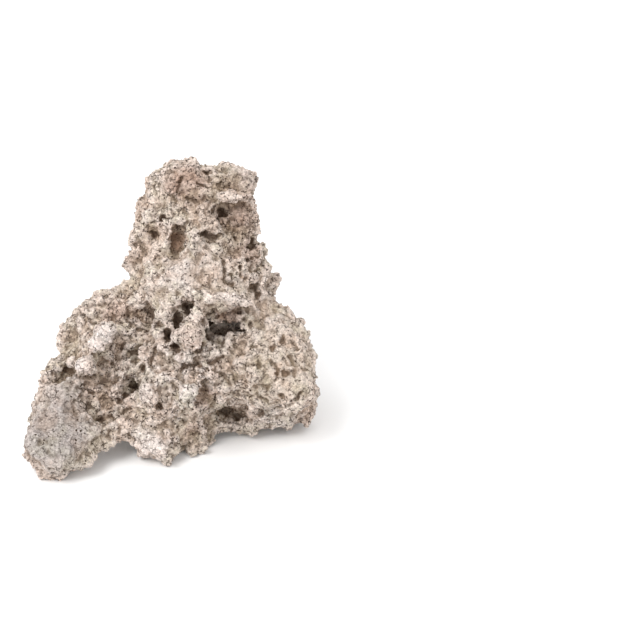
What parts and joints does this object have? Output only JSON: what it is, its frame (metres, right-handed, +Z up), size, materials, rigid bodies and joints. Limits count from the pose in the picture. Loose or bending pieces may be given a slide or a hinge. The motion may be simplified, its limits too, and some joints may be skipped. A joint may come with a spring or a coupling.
{
  "type": "lava rock",
  "caption": "Crusty, cavernous volcanic stone with an upright tower, a worn left leg and a broad right lobe; it stands on small flat spots under its feet.",
  "frame": {"origin": "the middle of the stone's box, on the surface it stands on", "axes": "+Z up, +X to the right of the side with the caves, -Y out of that side towards whoever looks at it"},
  "size_m": [0.143, 0.1166, 0.1348],
  "materials": {
    "crusty_stone": "dry matt crust of pale grey to tan, browner in the hollows"
  },
  "bodies": {
    "root": {"lava_rock": "crusty_stone"}
  },
  "joints": []
}
